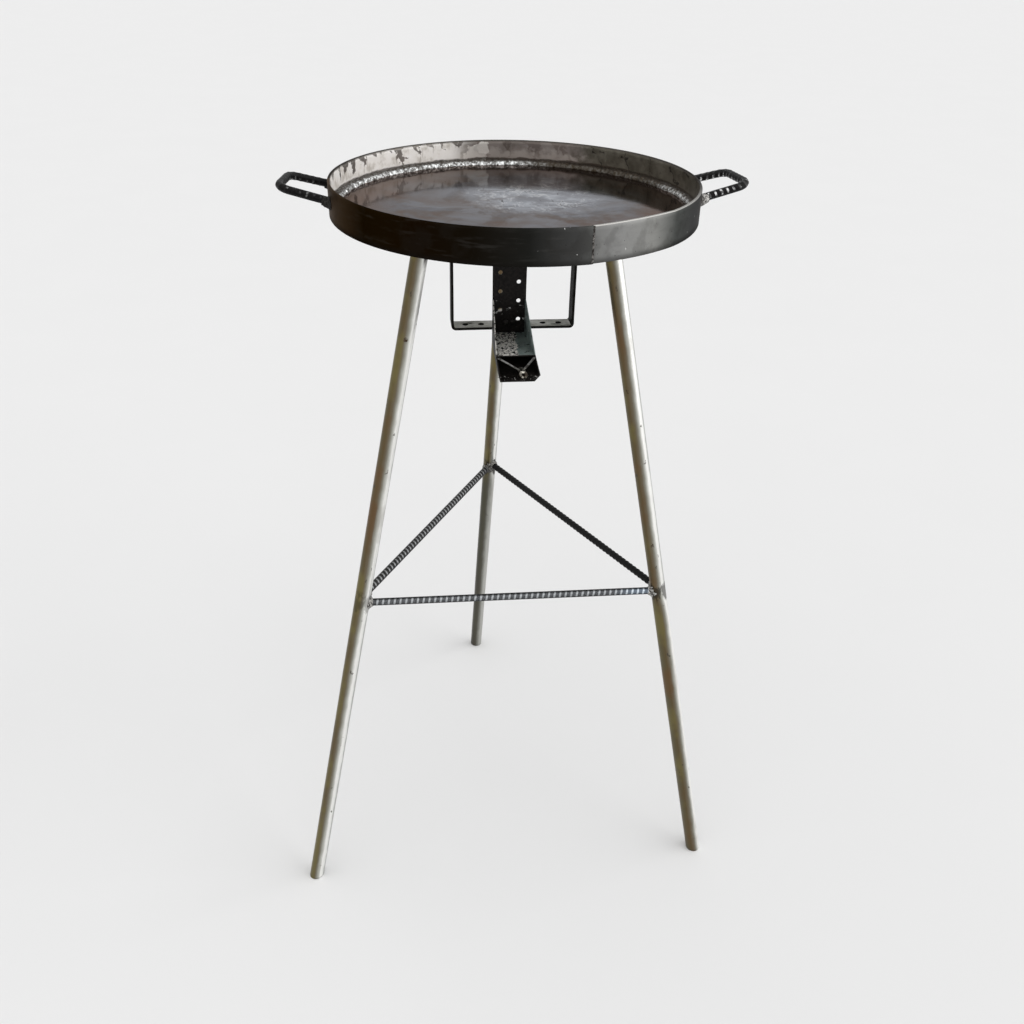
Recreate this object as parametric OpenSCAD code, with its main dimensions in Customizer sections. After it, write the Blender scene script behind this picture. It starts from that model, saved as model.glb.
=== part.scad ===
// Camp griddle: a round welded steel pan on three splayed tube legs, with a burner hung under it.
// Millimetres. +Z is up, the ground is z = 0, and the Z axis is the pan's axis.
// The front, where the burner's mouth is, looks along -Y. The handles lie on the X axis.

/* [Pan] */
// Outside diameter of the hoop
pan_d = 457; // [380:1:560]
// Height of the pan's upper edge above the ground
rim_z = 1030; // [800:5:1200]
// Height of the flat bar that the hoop is rolled from
hoop_h = 41; // [38:0.5:60]
// Thickness of the hoop
hoop_t = 3.2; // [2:0.1:6]
// Depth from the pan's upper edge to the cooking face
pan_depth = 32; // [20:0.5:33]
// Thickness of the cooking disc
disc_t = 4; // [3:0.5:6]
// Play between the disc's edge and the inside of the hoop
disc_play = 0.3; // [0.1:0.1:1]
// Width of the weld bead on the cooking face
bead_w = 10; // [4:0.5:14]
// Height of the weld bead on the inside of the hoop
bead_h = 6.5; // [3:0.5:10]
// Place of the hoop's butt seam, as an angle from +X
seam_angle = -75.5; // [-90:0.5:-60]
// Width of the gap that the seam weld fills
seam_gap = 1.6; // [0.8:0.1:3]
// Radius of the seam weld's round cap
seam_cap_r = 3; // [2:0.1:5]
// How far the seam weld's cap stands out of the hoop
seam_cap_rise = 1.2; // [0.5:0.1:1.8]

/* [Ribbed bar] */
// Diameter of the ribbed bar without its ribs
bar_d = 9.5; // [8:0.1:13]
// Height of one rib
rib_h = 0.5; // [0.2:0.05:0.9]
// Distance from one rib to the next
rib_pitch = 8; // [5:0.1:12]
// Width of the flat top of one rib
rib_top = 1.6; // [0.6:0.1:2.4]
// Width of each sloping side of a rib
rib_side = 0.7; // [0.3:0.1:1]

/* [Handles] */
// How far the left handle's front corner stands out from the hoop
left_handle_reach = 57; // [45:1:80]
// Width of the left handle along its grip
left_handle_w = 62; // [55:1:110]
// How far the right handle's front corner stands out from the hoop
right_handle_reach = 59; // [45:1:80]
// Width of the right handle along its grip
right_handle_w = 65; // [55:1:110]
// How much less a handle's back corner stands out than its front corner
handle_skew = 10; // [0:1:15]
// How much wider a handle is at the hoop than at its grip
handle_spread = 22; // [8:1:36]
// How far the grip lies above the handle's welded ends
handle_rise = 15; // [0:1:25]
// Depth of the handle's welded ends below the pan's upper edge
handle_drop = 17.5; // [10:0.5:24]
// Radius of the handle's bends, along the middle of the bar
handle_bend_r = 16; // [10:0.5:20]

/* [Legs] */
// Outside diameter of a leg tube
leg_d = 21.3; // [17:0.1:27]
// Wall of a leg tube
leg_wall = 2.6; // [1.5:0.1:4]
// Radius of the circle on which the legs meet the disc
leg_top_r = 127; // [100:1:160]
// Radius of the circle on which the feet stand
foot_r = 360; // [280:1:440]
// Angle of the front legs, measured from the X axis towards the front
front_leg_angle = 30; // [20:1:40]

/* [Braces] */
// Height of the front brace at the left leg
front_brace_left_z = 485; // [350:1:650]
// Height of the front brace at the right leg
front_brace_right_z = 482; // [350:1:650]
// Height of the left brace at the front leg
left_brace_front_z = 495; // [350:1:650]
// Height of the left brace at the back leg
left_brace_back_z = 487; // [350:1:650]
// Height of the right brace at the front leg
right_brace_front_z = 486; // [350:1:650]
// Height of the right brace at the back leg
right_brace_back_z = 494; // [350:1:650]

/* [Welds] */
// Leg length of the fillet welds
weld_leg = 5; // [3:0.5:7]
// Thickness of a weld at its feathered edge
weld_edge = 0.6; // [0.3:0.1:1]

/* [Hanger] */
// Width of the hanger's flat bar
strap_w = 25.4; // [20:0.2:40]
// Thickness of the hanger's flat bar
strap_t = 3.2; // [2:0.1:5]
// Clear width between the hanger's two uprights
hanger_bay = 156; // [130:1:200]
// Height from the hanger's base to the disc's underside
hanger_drop = 153; // [120:1:200]
// Inside radius of the hanger's two bends
strap_bend_r = 3; // [2:0.5:8]
// Diameter of the bolt holes in the hanger's base
strap_hole_d = 8; // [5:0.5:10]
// Distance between the inner two bolt holes
inner_hole_span = 82; // [76:1:90]
// Distance between the outer two bolt holes
outer_hole_span = 124; // [112:1:128]

/* [Burner] */
// How far the burner's middle lies to the right of the pan's axis
burner_x = -6; // [-12:1:12]
// Thickness of the burner's sheet steel
sheet_t = 1.5; // [1:0.1:2]
// Width of the vented back plate
plate_w = 44; // [38:1:48]
// Room between the back plate's upper edge and the disc
plate_headroom = 14; // [5:1:40]
// Clearance between the back plate and the hanger's front edge
plate_gap = 1.8; // [1:0.1:4]
// Diameter of a vent hole
vent_d = 5.5; // [4:0.5:10]
// Distance between the two columns of vent holes
vent_span = 24; // [20:1:28]
// Distance from one hole to the next in a column
vent_pitch = 25; // [22:1:35]
// Height of the lowest vent hole above the hanger's base
vent_lift = 12; // [10:1:20]
// Depth of the inlet box's top below the hanger's base
box_drop = 6; // [5:0.5:15]
// Height of the inlet box at its mouth
box_h = 30; // [28:1:45]
// Height of the inlet box where it meets the back plate
box_back_h = 12; // [8:1:20]
// Length of the inlet box along its top
box_l = 79; // [60:1:120]
// Width of the inlet box at its mouth
mouth_w = 50; // [44:1:60]
// How much further the box's floor runs than its top
mouth_slant = 14; // [0:1:25]
// Height of the side cheeks where they meet the back plate
cheek_h = 45; // [20:1:80]

/* [Burner clamp] */
// Diameter of the clamp bolt
bolt_d = 8; // [6:0.5:8]
// Clearance around and under what slides
slide_gap = 0.3; // [0.2:0.05:0.5]
// How far the burner slides forward
slide_travel = 40; // [20:1:60]
// Width of the burner's tongue
tongue_w = 16; // [14:1:20]
// Thickness of the burner's tongue
tongue_t = 2; // [1.5:0.1:3]
// Height of the tongue's upright, which is riveted to the back plate
tongue_h = 15; // [13:1:20]
// Diameter of a rivet's shank
rivet_d = 4; // [3:0.5:4]
// Distance between the two rivets
rivet_span = 8.5; // [8:0.5:10]

/* [Gas jet] */
// Diameter of the jet's round body
jet_d = 9; // [7:0.5:11]
// Length of the jet's round body
jet_l = 8; // [6:1:12]
// Diameter of the jet's gas passage
jet_bore = 4; // [2:0.5:5]
// Diameter of the jet's outlet
jet_outlet = 1; // [0.6:0.1:1.5]
// How far the jet lies to the right of the burner's middle
jet_shift = 4; // [-6:1:6]
// Gap between the jet's round body and the box's floor
jet_gap = 0.7; // [0.3:0.1:2]
// Diameter of the two rods that hold the jet
rod_d = 3; // [2:0.5:4]

/* [Hidden] */
$fn = 96;
// Sides of the pan's large rounds
pan_fn = 360;

// Overlap of cutting tools, so that no cut ends on a face
cut = 1;

// Pan
pan_r = pan_d / 2;
hoop_in_r = pan_r - hoop_t;
hoop_z = rim_z - hoop_h;
cook_z = rim_z - pan_depth;
under_z = cook_z - disc_t;
// Angle between the points of the bead's outline
bead_step = 15;

// Turn of a round piece about its own middle line
along_turn = 45;

// Ribbed bar
bar_r = bar_d / 2;
rib_len = rib_top + 2 * rib_side;
// Radius of a brace's weld where the bar enters the tube
brace_weld_r = bar_r + weld_edge + 0.6 * weld_leg;

// Legs: the angle of each leg, as LEFT, RIGHT and BACK
LEFT = 0;
RIGHT = 1;
BACK = 2;
leg_angle = [180 + front_leg_angle, -front_leg_angle, 90];
// How far each leg's top and foot stand off their even places, because the stand is made by hand
top_off = [[-4, 0, 0], [-3, 0, 0], [10, 0, 0]];
foot_off = [[-2, 4, 0], [-17, -1, 0], [-15, 19, 0]];
leg_r = leg_d / 2;
// How far a tube is drawn past both of its ends before it is cut level
leg_spare = 60;
// How far the weld at a leg's top spreads along the disc
leg_weld_w = 3 * weld_leg;

// Handles
handle_z = rim_z - handle_drop;
// How far a handle's bars are drawn into the hoop before they are cut to its round
handle_sink = bar_d + 2 * weld_leg;
bend_bar_r = bar_r + rib_h;

// Hanger
base_z = under_z - hanger_drop;
hanger_w = hanger_bay + 2 * strap_t;
strap_out_r = strap_bend_r + strap_t;
// Hole in the hanger and slot in the tongue that the clamp bolt passes
bolt_hole_d = bolt_d + 2 * slide_gap;

// Burner
plate_back_y = -strap_w / 2 - plate_gap;
plate_front_y = plate_back_y - sheet_t;
plate_top_z = under_z - plate_headroom;
box_top_z = base_z - box_drop;
box_flare = (mouth_w - plate_w) / 2 / box_l;
floor_l = box_l + mouth_slant;
vent_low_z = base_z + vent_lift;
vent_rows = floor((plate_top_z - vent_d - vent_low_z) / (vent_pitch / 2));

// Clamp
tongue_z = base_z + slide_gap;
tongue_back_y = slide_travel + bolt_d;
bolt_head_z = tongue_z + tongue_t + slide_gap;
bolt_head_d = 2 * bolt_d;
bolt_head_h = 0.55 * bolt_d;
nut_h = bolt_d;
nut_d = 1.8 * bolt_d;
wing_reach = 1.75 * bolt_d;
wing_t = 0.4 * bolt_d;
bolt_tail = 0.75 * bolt_d;
rivet_z = tongue_z + tongue_h / 2;
rivet_head_d = 1.75 * rivet_d;
rivet_head_h = 0.4 * rivet_d;

// Jet
jet_x = burner_x + jet_shift;
jet_hex_d = jet_d + 1.5;
jet_hex_l = jet_d * 0.7;
jet_tip_l = jet_d * 0.7;
jet_neck_d = jet_d * 0.7;
jet_nose_d = jet_d * 0.4;
jet_z = floor_z(floor_l - jet_hex_l - jet_l) + sheet_t + jet_d / 2 + jet_gap;
jet_front_y = plate_front_y - floor_l;
jet_body_y = jet_front_y + jet_hex_l;
rod_y = jet_body_y + jet_l / 2;

// A point at a radius, an angle and a height
function at_angle(r, a, z) = [r * cos(a), r * sin(a), z];

// The direction of a vector, and the point at a distance from a towards b
function unit(v) = v / norm(v);
function towards(a, b, len) = a + len * unit(b - a);

// The two ends of a leg's middle line, and the point of it at a height
function leg_top(i) = at_angle(leg_top_r, leg_angle[i], under_z) + top_off[i];
function leg_foot(i) = at_angle(foot_r, leg_angle[i], 0) + foot_off[i];
function leg_at(i, z) = leg_foot(i) + (leg_top(i) - leg_foot(i)) * z / under_z;

// Height of the underside of the box's floor at a length from the back plate
function floor_z(len) = box_top_z - box_back_h - (box_h - box_back_h) * len / floor_l;

// Outline of a ribbed bar on one side of its middle line, plain for a stretch at each end
function bar_outline(len, plain) =
    let (
        ribs = max(0, floor((len - 2 * plain - rib_len) / rib_pitch) + 1),
        start = (len - (ribs - 1) * rib_pitch - rib_len) / 2
    )
    concat(
        [[0, 0], [bar_r, 0]],
        [for (k = [0:1:ribs - 1], p = [
            [0, 0], [rib_side, rib_h], [rib_side + rib_top, rib_h], [rib_len, 0]
        ]) [bar_r + p[1], start + k * rib_pitch + p[0]]],
        [[bar_r, len], [0, len]]
    );

// Turns children that stand on +Z so that they run from point a towards point b
module along(a, b) {
    d = b - a;
    translate(a) rotate([0, acos(d[2] / norm(d)), atan2(d[1], d[0])]) rotate(along_turn) children();
}

// A ribbed bar from a to b
module ribbed_bar(a, b, plain) {
    along(a, b) rotate_extrude() polygon(bar_outline(norm(b - a), plain));
}

// A plain round rod from a to b
module round_rod(a, b, r) {
    along(a, b) cylinder(r = r, h = norm(b - a));
}

// Everything between the ground and the disc's underside
module stand_slab() {
    side = 4 * foot_r;
    translate([-side / 2, -side / 2, 0]) cube([side, side, under_z]);
}

// The full round that the hoop encloses, hoop included
module pan_round() {
    translate([0, 0, hoop_z - hoop_h]) cylinder(r = pan_r, h = 3 * hoop_h, $fn = pan_fn);
}

// Pan
module griddle_disc() {
    color("#5b5450") translate([0, 0, under_z]) cylinder(r = hoop_in_r - disc_play, h = disc_t, $fn = pan_fn);
}

module hoop_ring() {
    translate([0, 0, hoop_z]) difference() {
        cylinder(r = pan_r, h = hoop_h, $fn = pan_fn);
        translate([0, 0, -cut]) cylinder(r = hoop_in_r, h = hoop_h + 2 * cut, $fn = pan_fn);
    }
}

module seam_slot() {
    rotate(seam_angle)
        translate([hoop_in_r - hoop_t, -seam_gap / 2, hoop_z - cut])
            cube([3 * hoop_t, seam_gap, hoop_h + 2 * cut]);
}

module rim_hoop() {
    color("#2b2724") difference() {
        hoop_ring();
        seam_slot();
    }
}

module rim_seam_weld() {
    color("#4c4a47") {
        intersection() {
            hoop_ring();
            seam_slot();
        }
        difference() {
            rotate(seam_angle)
                translate([pan_r + seam_cap_rise - seam_cap_r, 0, hoop_z])
                    cylinder(r = seam_cap_r, h = hoop_h);
            pan_round();
        }
    }
}

module disc_weld_bead() {
    rise = [for (a = [0:bead_step:90]) [hoop_in_r - bead_w * cos(a), cook_z + bead_h * sin(a)]];
    color("#9a9892") rotate_extrude($fn = pan_fn) polygon(concat(rise, [[hoop_in_r, cook_z]]));
}

// Handles
// Corners of a handle's middle line: at the hoop and at both ends of the grip, from front to back
function handle_corners(side, reach, grip) = [
    [side * pan_r, -(grip + handle_spread) / 2, handle_z],
    [side * (pan_r + reach), -grip / 2, handle_z + handle_rise],
    [side * (pan_r + reach - handle_skew), grip / 2, handle_z + handle_rise],
    [side * pan_r, (grip + handle_spread) / 2, handle_z]
];

// How much the bar turns at corner b, and how far from it the bend begins
function bend_turn(a, b, c) = acos(unit(b - a) * unit(c - b));
function bend_tangent(a, b, c) = handle_bend_r * tan(bend_turn(a, b, c) / 2);

// The bend at corner b of a bar that comes from a and goes on to c
module bar_bend(a, b, c) {
    start = towards(b, a, bend_tangent(a, b, c));
    axis = unit(cross(b - a, c - b));
    inward = cross(axis, unit(b - a));
    middle = start + handle_bend_r * inward;
    along_bar = unit(b - a);
    multmatrix([for (k = [0:2]) [-inward[k], along_bar[k], axis[k], middle[k]]])
        rotate_extrude(angle = bend_turn(a, b, c))
            translate([handle_bend_r, 0]) circle(r = bend_bar_r);
}

module handle_bar(side, reach, grip) {
    p = handle_corners(side, reach, grip);
    front = bend_tangent(p[0], p[1], p[2]) - cut;
    back = bend_tangent(p[1], p[2], p[3]) - cut;
    plain = handle_sink + 2 * weld_leg;
    difference() {
        union() {
            ribbed_bar(towards(p[0], p[1], -handle_sink), towards(p[1], p[0], front), plain);
            bar_bend(p[0], p[1], p[2]);
            ribbed_bar(towards(p[1], p[2], front), towards(p[2], p[1], back), rib_pitch / 2);
            bar_bend(p[1], p[2], p[3]);
            ribbed_bar(towards(p[3], p[2], -handle_sink), towards(p[2], p[3], back), plain);
        }
        pan_round();
    }
}

module handle_weld(side, reach, grip) {
    p = handle_corners(side, reach, grip);
    difference() {
        for (e = [[p[0], p[1]], [p[3], p[2]]])
            along(towards(e[0], e[1], -handle_sink), e[1])
                difference() {
                    cylinder(
                        r1 = bar_r + weld_edge + weld_leg,
                        r2 = bar_r + weld_edge,
                        h = handle_sink + weld_leg
                    );
                    translate([0, 0, -cut]) cylinder(r = bar_r, h = handle_sink + weld_leg + 2 * cut);
                }
        pan_round();
    }
}

module left_handle() {
    color("#26231f") handle_bar(-1, left_handle_reach, left_handle_w);
}

module right_handle() {
    color("#26231f") handle_bar(1, right_handle_reach, right_handle_w);
}

module left_handle_welds() {
    color("#3a3632") handle_weld(-1, left_handle_reach, left_handle_w);
}

module right_handle_welds() {
    color("#3a3632") handle_weld(1, right_handle_reach, right_handle_w);
}

// Legs
module leg_blank(i, r) {
    top = leg_top(i);
    foot = leg_foot(i);
    round_rod(towards(foot, top, -leg_spare), towards(top, foot, -leg_spare), r);
}

module leg(i) {
    color("#a09a8c") intersection() {
        difference() {
            leg_blank(i, leg_r);
            leg_blank(i, leg_r - leg_wall);
        }
        stand_slab();
    }
}

module leg_weld(i) {
    color("#3f3a35") intersection() {
        difference() {
            along(leg_top(i), leg_foot(i))
                translate([0, 0, weld_leg - leg_weld_w])
                    cylinder(r1 = leg_r + weld_edge + leg_weld_w, r2 = leg_r + weld_edge, h = leg_weld_w);
            leg_blank(i, leg_r);
        }
        stand_slab();
    }
}

module leg_front_left() {
    leg(LEFT);
}

module leg_front_right() {
    leg(RIGHT);
}

module leg_back() {
    leg(BACK);
}

module leg_front_left_weld() {
    leg_weld(LEFT);
}

module leg_front_right_weld() {
    leg_weld(RIGHT);
}

module leg_back_weld() {
    leg_weld(BACK);
}

// Braces: each runs from a leg's middle line to another's and is cut where it meets the tubes
BRACES = [
    [LEFT, front_brace_left_z, RIGHT, front_brace_right_z],
    [LEFT, left_brace_front_z, BACK, left_brace_back_z],
    [RIGHT, right_brace_front_z, BACK, right_brace_back_z]
];

function brace_start(b) = leg_at(b[0], b[1]);
function brace_end(b) = leg_at(b[2], b[3]);

module brace(b) {
    color("#4a4d50") difference() {
        ribbed_bar(brace_start(b), brace_end(b), leg_r + 2 * weld_leg);
        leg_blank(b[0], leg_r);
        leg_blank(b[2], leg_r);
    }
}

// The weld around a brace's end: full where the bar enters the tube, and feathered along the bar
module brace_collar(from, to) {
    along(from, to) rotate_extrude() polygon([
        [0, leg_r / 2],
        [brace_weld_r, leg_r / 2],
        [brace_weld_r, leg_r],
        [bar_r + weld_edge, leg_r + weld_leg],
        [0, leg_r + weld_leg]
    ]);
}

module brace_welds(i) {
    color("#3a3733") difference() {
        union() {
            for (b = BRACES) {
                if (b[0] == i) brace_collar(brace_start(b), brace_end(b));
                if (b[2] == i) brace_collar(brace_end(b), brace_start(b));
            }
        }
        leg_blank(i, leg_r);
        for (b = BRACES)
            if (b[0] == i || b[2] == i) round_rod(brace_start(b), brace_end(b), bar_r);
    }
}

module brace_front() {
    brace(BRACES[0]);
}

module brace_left() {
    brace(BRACES[1]);
}

module brace_right() {
    brace(BRACES[2]);
}

module brace_welds_front_left() {
    brace_welds(LEFT);
}

module brace_welds_front_right() {
    brace_welds(RIGHT);
}

module brace_welds_back() {
    brace_welds(BACK);
}

// Hanger
// A block standing on z = 0 whose two lower edges are rounded, seen from the front
module rounded_bay(w, h, r) {
    translate([-w / 2, r]) square([w, h - r]);
    translate([-w / 2 + r, 0]) square([w - 2 * r, h]);
    for (s = [-1, 1]) translate([s * (w / 2 - r), r]) circle(r = r);
}

module hanger_strap() {
    color("#35332f") difference() {
        translate([0, strap_w / 2, base_z - strap_t])
            rotate([90, 0, 0])
                linear_extrude(strap_w) difference() {
                    rounded_bay(hanger_w, hanger_drop + strap_t, strap_out_r);
                    translate([0, strap_t]) rounded_bay(hanger_bay, hanger_drop + cut, strap_bend_r);
                }
        for (span = [inner_hole_span, outer_hole_span], s = [-1, 1])
            translate([s * span / 2, 0, base_z - strap_t - cut])
                cylinder(d = strap_hole_d, h = strap_t + 2 * cut);
        translate([burner_x, 0, base_z - strap_t - cut])
            cylinder(d = bolt_hole_d, h = strap_t + 2 * cut);
    }
}

module hanger_welds() {
    color("#3a3733") for (s = [-1, 1])
        translate([s * hanger_w / 2, strap_w / 2, under_z])
            rotate([90, 0, 0])
                linear_extrude(strap_w)
                    polygon([[0, 0], [s * weld_leg, 0], [0, -weld_leg]]);
}

// Burner
module vent_holes() {
    for (k = [0:vent_rows])
        translate([
            burner_x + (k % 2 == 0 ? 1 : -1) * vent_span / 2,
            plate_front_y - cut,
            vent_low_z + k * vent_pitch / 2
        ])
            rotate([-90, 0, 0]) cylinder(d = vent_d, h = sheet_t + 2 * cut);
}

// Cylinders along Y through the back plate and the tongue's upright
module rivet_rods(d, from_y, to_y) {
    for (s = [-1, 1])
        translate([burner_x + s * rivet_span / 2, from_y, rivet_z])
            rotate([-90, 0, 0]) cylinder(d = d, h = to_y - from_y);
}

module burner_back_plate() {
    color("#191715") difference() {
        translate([burner_x - plate_w / 2, plate_front_y, floor_z(0)])
            cube([plate_w, sheet_t, plate_top_z - floor_z(0)]);
        vent_holes();
        rivet_rods(rivet_d, plate_front_y - cut, plate_back_y + cut);
    }
}

// Seen from above: the box's flared outline, with its sides set in, from the back plate to a length
module flared_plan(inset, from, to) {
    polygon([for (p = [[-1, from], [1, from], [1, to], [-1, to]])
        [burner_x + p[0] * (plate_w / 2 + box_flare * p[1] - inset), plate_front_y - p[1]]]);
}

// Seen from the left: the box's outline, set in, with its rising floor and its slanted mouth
module slanted_side(inset, from, over) {
    polygon([
        [plate_front_y - from, floor_z(from) + inset],
        [plate_front_y - from, box_top_z - inset],
        [plate_front_y - box_l - over, box_top_z - inset],
        [plate_front_y - floor_l - over, floor_z(floor_l + over) + inset]
    ]);
}

module burner_box(inset, from, over) {
    intersection() {
        translate([0, 0, box_top_z - 2 * box_h])
            linear_extrude(2 * box_h) flared_plan(inset, from, 2 * box_l);
        translate([burner_x - mouth_w, 0, 0])
            rotate([90, 0, 90]) linear_extrude(2 * mouth_w) slanted_side(inset, from, over);
    }
}

module burner_inlet_box() {
    color("#161412") difference() {
        burner_box(0, 0, 0);
        burner_box(sheet_t, -cut, cut);
    }
}

// A three-cornered side plate that stands on the box's top, side -1 or 1
module cheek(side) {
    color("#3d4644") intersection() {
        translate([0, 0, box_top_z]) linear_extrude(cheek_h) intersection() {
            difference() {
                flared_plan(0, 0, box_l);
                flared_plan(sheet_t, -cut, box_l + cut);
            }
            translate([burner_x + (side < 0 ? -mouth_w : 0), plate_front_y - 2 * box_l])
                square([mouth_w, 2 * box_l]);
        }
        translate([burner_x - mouth_w, 0, 0])
            rotate([90, 0, 90])
                linear_extrude(2 * mouth_w)
                    polygon([
                        [plate_front_y, box_top_z],
                        [plate_front_y, box_top_z + cheek_h],
                        [plate_front_y - box_l, box_top_z]
                    ]);
    }
}

module burner_left_cheek() {
    cheek(-1);
}

module burner_right_cheek() {
    cheek(1);
}

module burner_tongue() {
    color("#24211e") difference() {
        union() {
            translate([burner_x - tongue_w / 2, plate_back_y, tongue_z])
                cube([tongue_w, tongue_back_y - plate_back_y, tongue_t]);
            translate([burner_x - tongue_w / 2, plate_back_y, tongue_z])
                cube([tongue_w, tongue_t, tongue_h]);
        }
        translate([burner_x, 0, tongue_z - cut]) linear_extrude(tongue_t + 2 * cut) {
            circle(d = bolt_hole_d);
            translate([0, slide_travel]) circle(d = bolt_hole_d);
            translate([-bolt_hole_d / 2, 0]) square([bolt_hole_d, slide_travel]);
        }
        rivet_rods(rivet_d, plate_back_y - cut, plate_back_y + tongue_t + cut);
    }
}

module burner_rivets() {
    inner_y = plate_back_y + tongue_t;
    color("#6a6862") {
        rivet_rods(rivet_d, plate_front_y, inner_y);
        rivet_rods(rivet_head_d, plate_front_y - rivet_head_h, plate_front_y);
        rivet_rods(rivet_head_d, inner_y, inner_y + rivet_head_h);
    }
}

// Clamp bolt and wing nut, which hold the tongue on the hanger's base
module clamp_bolt() {
    nut_z = base_z - strap_t - nut_h;
    color("#77746d") translate([burner_x, 0, 0]) {
        translate([0, 0, nut_z - bolt_tail])
            cylinder(d = bolt_d, h = bolt_head_z - nut_z + bolt_tail);
        translate([0, 0, bolt_head_z])
            cylinder(d1 = bolt_head_d, d2 = bolt_d, h = bolt_head_h);
    }
}

module wing_nut() {
    color("#77746d") translate([burner_x, 0, base_z - strap_t - nut_h]) difference() {
        union() {
            cylinder(d = nut_d, h = nut_h);
            for (s = [-1, 1])
                translate([0, wing_t / 2, 0]) rotate([90, 0, 0]) linear_extrude(wing_t) {
                    translate([s > 0 ? 0 : -wing_reach, 0]) square([wing_reach, nut_h]);
                    translate([s * wing_reach, nut_h / 2]) circle(d = nut_h);
                }
        }
        translate([0, 0, -cut]) cylinder(d = bolt_d, h = nut_h + 2 * cut);
    }
}

// Gas jet, whose passage runs along Y and opens at the front
module jet_turned(y, d1, d2, len) {
    translate([jet_x, y, jet_z]) rotate([-90, 0, 0]) cylinder(d1 = d1, d2 = d2, h = len);
}

module gas_jet() {
    color("#b08d4c") difference() {
        union() {
            translate([jet_x, jet_front_y, jet_z])
                rotate([-90, 0, 0]) cylinder(d = jet_hex_d, h = jet_hex_l, $fn = 6);
            jet_turned(jet_body_y, jet_d, jet_d, jet_l);
            jet_turned(jet_body_y + jet_l, jet_neck_d, jet_nose_d, jet_tip_l);
        }
        jet_turned(jet_front_y - cut, jet_bore, jet_bore, jet_hex_l + jet_l + cut);
        jet_turned(jet_front_y, jet_outlet, jet_outlet, jet_hex_l + jet_l + jet_tip_l + cut);
    }
}

module jet_bracket() {
    color("#8b8a86") difference() {
        intersection() {
            union() {
                for (s = [-1, 1])
                    round_rod(
                        [jet_x, rod_y, jet_z],
                        [burner_x + s * mouth_w / 2, rod_y, box_top_z],
                        rod_d / 2
                    );
            }
            burner_box(sheet_t, 0, 2 * mouth_slant);
        }
        jet_turned(jet_body_y - jet_l, jet_d, jet_d, 3 * jet_l);
    }
}

griddle_disc();
rim_hoop();
rim_seam_weld();
disc_weld_bead();
left_handle();
right_handle();
left_handle_welds();
right_handle_welds();
leg_front_left();
leg_front_right();
leg_back();
leg_front_left_weld();
leg_front_right_weld();
leg_back_weld();
brace_front();
brace_left();
brace_right();
brace_welds_front_left();
brace_welds_front_right();
brace_welds_back();
hanger_strap();
hanger_welds();
clamp_bolt();
wing_nut();
burner_back_plate();
burner_inlet_box();
burner_left_cheek();
burner_right_cheek();
burner_tongue();
burner_rivets();
jet_bracket();
gas_jet();
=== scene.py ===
"""Camp griddle: a round welded steel pan on three tube legs, dressed for rendering."""
import math
import random

import bmesh
import bpy
import numpy as np
from mathutils import Matrix, Vector, noise


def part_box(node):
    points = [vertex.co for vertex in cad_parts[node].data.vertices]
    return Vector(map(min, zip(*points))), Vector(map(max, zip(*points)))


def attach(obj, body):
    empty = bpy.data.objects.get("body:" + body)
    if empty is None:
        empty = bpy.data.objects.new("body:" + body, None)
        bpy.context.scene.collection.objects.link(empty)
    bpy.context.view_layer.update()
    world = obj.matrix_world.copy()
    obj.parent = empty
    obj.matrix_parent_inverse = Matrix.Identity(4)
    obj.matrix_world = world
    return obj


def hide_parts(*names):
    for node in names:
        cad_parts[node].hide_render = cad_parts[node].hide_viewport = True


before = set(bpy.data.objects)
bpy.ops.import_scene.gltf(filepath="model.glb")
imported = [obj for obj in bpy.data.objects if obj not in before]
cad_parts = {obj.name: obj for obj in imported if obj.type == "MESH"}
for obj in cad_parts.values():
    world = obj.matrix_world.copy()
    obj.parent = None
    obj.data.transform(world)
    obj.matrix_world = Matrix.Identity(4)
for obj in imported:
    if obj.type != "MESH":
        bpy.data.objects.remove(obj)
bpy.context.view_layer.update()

MM = 0.001
TURN = 2 * math.pi

# Sizes taken from the frame
HOOP_LOW, HOOP_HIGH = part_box("rim_hoop")
DISC_LOW, DISC_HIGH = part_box("griddle_disc")
PAN_R = HOOP_HIGH.x
RIM_Z = HOOP_HIGH.z
COOK_Z = DISC_HIGH.z
UNDER_Z = DISC_LOW.z

# Pan, in metres and degrees
HOOP_T = 3.2 * MM
HOOP_IN_R = PAN_R - HOOP_T
SEAM_ANGLE = -75.5
SEAM_GAP = 1.6 * MM
BEAD_W = 10 * MM
BEAD_H = 6.5 * MM
BEAD_SINK = 0.9 * MM
DISC_WARP = 0.55 * MM
DISC_DROP = 0.4 * MM
HOOP_WAVE = 0.25 * MM
HOOP_INSET = 0.2 * MM
# The hoop's flat end past the seam: its span, and its depth at the lower edge, growing to the upper one
FLAT_SPAN = 30
FLAT_DEPTH = 1.2 * MM
FLAT_GROWTH = 2.6 * MM
SEAM_STEP = 1.0 * MM
# The end before the seam stands out
BULGE_SPAN = 24
BULGE = 1.3 * MM

# Ribbed bar
BAR_R = 4.7 * MM
RIB_H = 0.55 * MM
RIB_PITCH = 8 * MM
RIB_WIDTH = 3.0 * MM
RIB_SLANT = 0.2
SPINE_WIDTH = 0.9 * MM

# Handles: side, reach of the front corner, width of the grip
HANDLES = {
    "left_handle": (-1, 57 * MM, 62 * MM),
    "right_handle": (1, 59 * MM, 65 * MM),
}
HANDLE_SKEW = 10 * MM
HANDLE_SPREAD = 22 * MM
HANDLE_RISE = 15 * MM
HANDLE_Z = RIM_Z - 17.5 * MM
HANDLE_BEND_R = 16 * MM
HANDLE_SINK = 1.2 * MM
HANDLE_SPINE = 155
HANDLE_RIB_H = 0.5 * RIB_H
# Rings of points along one rib pitch
HANDLE_STEPS = 14
BRACE_STEPS = 12

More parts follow.
